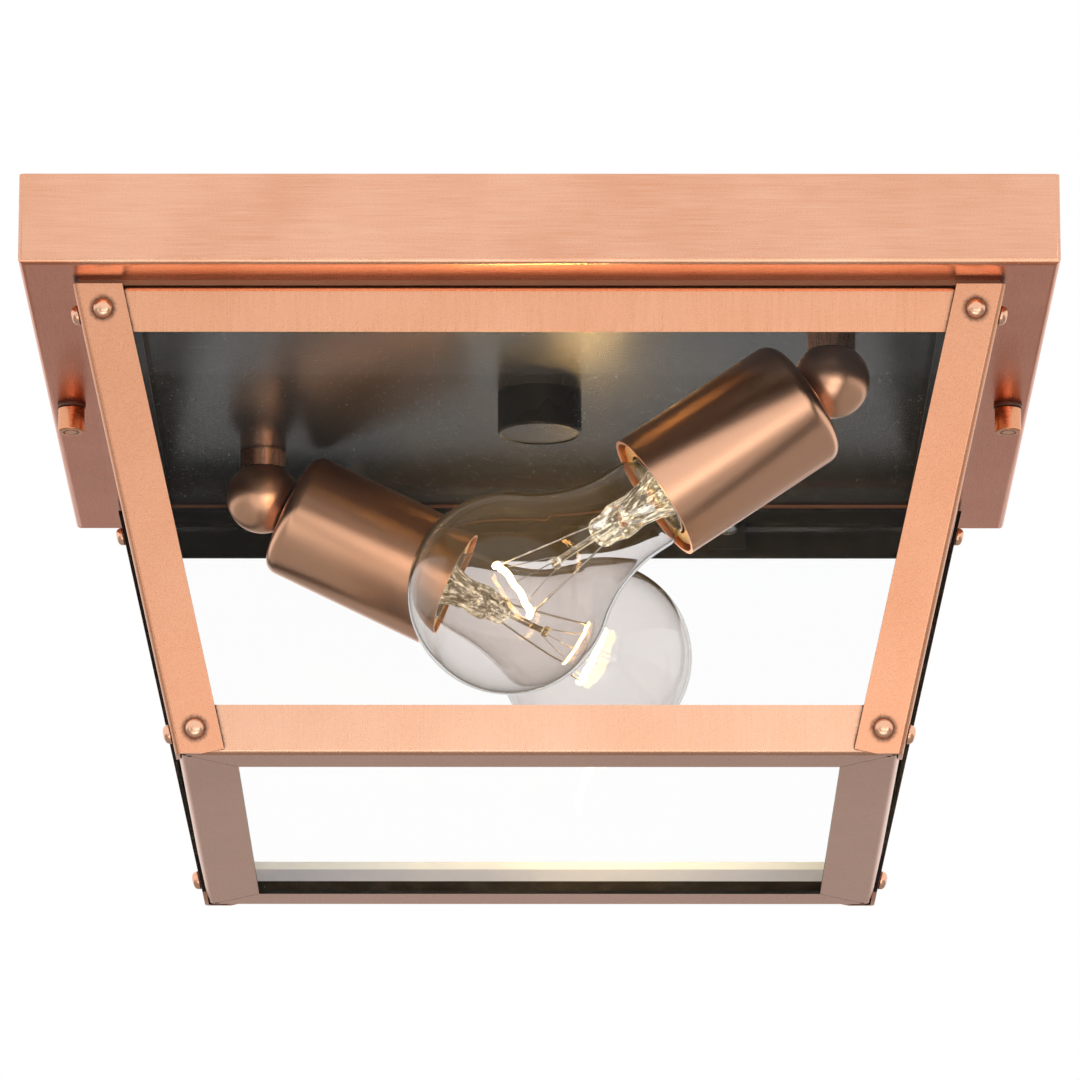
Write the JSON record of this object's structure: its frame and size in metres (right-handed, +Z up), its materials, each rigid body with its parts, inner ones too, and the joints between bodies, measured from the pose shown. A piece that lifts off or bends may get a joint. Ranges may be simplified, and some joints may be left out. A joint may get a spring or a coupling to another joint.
{
  "type": "outdoor flush mount light",
  "caption": "Square flush mount lantern with a folded canopy, a riveted cage that narrows downwards, clear panes, an open bottom and bulbs in tilting cups.",
  "frame": {"origin": "centre of the ceiling plane, between the two box screw slots of the crossbar, on the crossbar's top face", "axes": "+Z up into the ceiling, +X to the right along the crossbar, +Y away from the viewer; the light hangs down to negative Z"},
  "size_m": [0.3, 0.3, 0.161],
  "materials": {
    "copper": "brushed copper, slightly antiqued",
    "dark_plate": "glossy dark grey",
    "black_cap": "glossy black",
    "zinc_steel": "zinc plated",
    "ground_green": "green lacquer",
    "gasket": "matt",
    "washer": "matt",
    "pane": "clear",
    "porcelain": "glazed",
    "brass": "bright",
    "bulb_glass": "clear",
    "bulb_cap": "bright",
    "black_glass": "gloss",
    "stem_glass": "clear",
    "filament_wire": "drawn"
  },
  "bodies": {
    "canopy_and_cage": {"crossbar": "zinc_steel", "crossbar_studs": "zinc_steel", "stud_nuts": "zinc_steel", "ground_screw": "ground_green", "centre_nipple": "zinc_steel", "centre_nuts": "zinc_steel", "canopy": "copper", "socket_plate": "dark_plate", "centre_cap": "black_cap", "cage_gasket": "gasket", "cage_screws": "zinc_steel", "cage_nuts": "zinc_steel", "top_rail_front": "copper", "top_rail_right": "copper", "top_rail_back": "copper", "top_rail_left": "copper", "bottom_rail_front": "copper", "bottom_rail_right": "copper", "bottom_rail_back": "copper", "bottom_rail_left": "copper", "corner_post_front_right": "copper", "corner_post_back_right": "copper", "corner_post_back_left": "copper", "corner_post_front_left": "copper", "glass_front": "pane", "glass_right": "pane", "glass_back": "pane", "glass_left": "pane", "glass_clips": "zinc_steel", "rivets": "copper", "arm_collars": "copper", "arm_nipples": "zinc_steel", "arm_nuts": "zinc_steel", "swivel_nuts": "zinc_steel"},
    "lamp_left": {"swivel_ball_left": "copper", "cup_nipple_left": "zinc_steel", "socket_cup_left": "copper", "lampholder_left": "porcelain", "screw_shell_left": "brass", "centre_contact_left": "brass"},
    "bulb_left": {"bulb_glass_left": "bulb_glass", "bulb_base_left": "bulb_cap", "bulb_insulator_left": "black_glass", "bulb_stem_left": "stem_glass", "filament_left": "filament_wire"},
    "washer_left": {"knob_washer_left": "washer"},
    "knob_left": {"knob_left": "copper"},
    "lamp_right": {"swivel_ball_right": "copper", "cup_nipple_right": "zinc_steel", "socket_cup_right": "copper", "lampholder_right": "porcelain", "screw_shell_right": "brass", "centre_contact_right": "brass"},
    "bulb_right": {"bulb_glass_right": "bulb_glass", "bulb_base_right": "bulb_cap", "bulb_insulator_right": "black_glass", "bulb_stem_right": "stem_glass", "filament_right": "filament_wire"},
    "washer_right": {"knob_washer_right": "washer"},
    "knob_right": {"knob_right": "copper"}
  },
  "joints": [
    {"name": "lamp_tilt_left", "type": "hinge", "parent": "canopy_and_cage", "child": "lamp_left", "pos_m": [-0.0868, 0.0671, -0.03853], "axis": [-0.0262, 0.9997, 0], "range_deg": [-3, 14]},
    {"name": "bulb_release_left", "type": "slide", "parent": "lamp_left", "child": "bulb_left", "axis": [0.8985, 0.0235, -0.4384], "range_m": [0, 0.028]},
    {"name": "knob_travel_left", "type": "slide", "parent": "canopy_and_cage", "child": "washer_left", "axis": [0, 0, -1], "range_m": [0, 0.0048]},
    {"name": "knob_turn_left", "type": "hinge", "parent": "washer_left", "child": "knob_left", "pos_m": [-0.143, 0, -0.032], "axis": [0, 0, -1], "range_deg": [0, 2160]},
    {"name": "lamp_tilt_right", "type": "hinge", "parent": "canopy_and_cage", "child": "lamp_right", "pos_m": [0.0868, -0.0671, -0.03853], "axis": [0.0262, -0.9997, 0], "range_deg": [-11.5, 5.5]},
    {"name": "bulb_release_right", "type": "slide", "parent": "lamp_right", "child": "bulb_right", "axis": [-0.8238, -0.0216, -0.5664], "range_m": [0, 0.028]},
    {"name": "knob_travel_right", "type": "slide", "parent": "canopy_and_cage", "child": "washer_right", "axis": [0, 0, -1], "range_m": [0, 0.0048]},
    {"name": "knob_turn_right", "type": "hinge", "parent": "washer_right", "child": "knob_right", "pos_m": [0.143, 0, -0.032], "axis": [0, 0, -1], "range_deg": [0, 2160]}
  ],
  "couplings": [
    {"joint": "knob_turn_left", "follows": "knob_travel_left", "rad_per_m": 7854},
    {"joint": "knob_turn_right", "follows": "knob_travel_right", "rad_per_m": 7854}
  ]
}
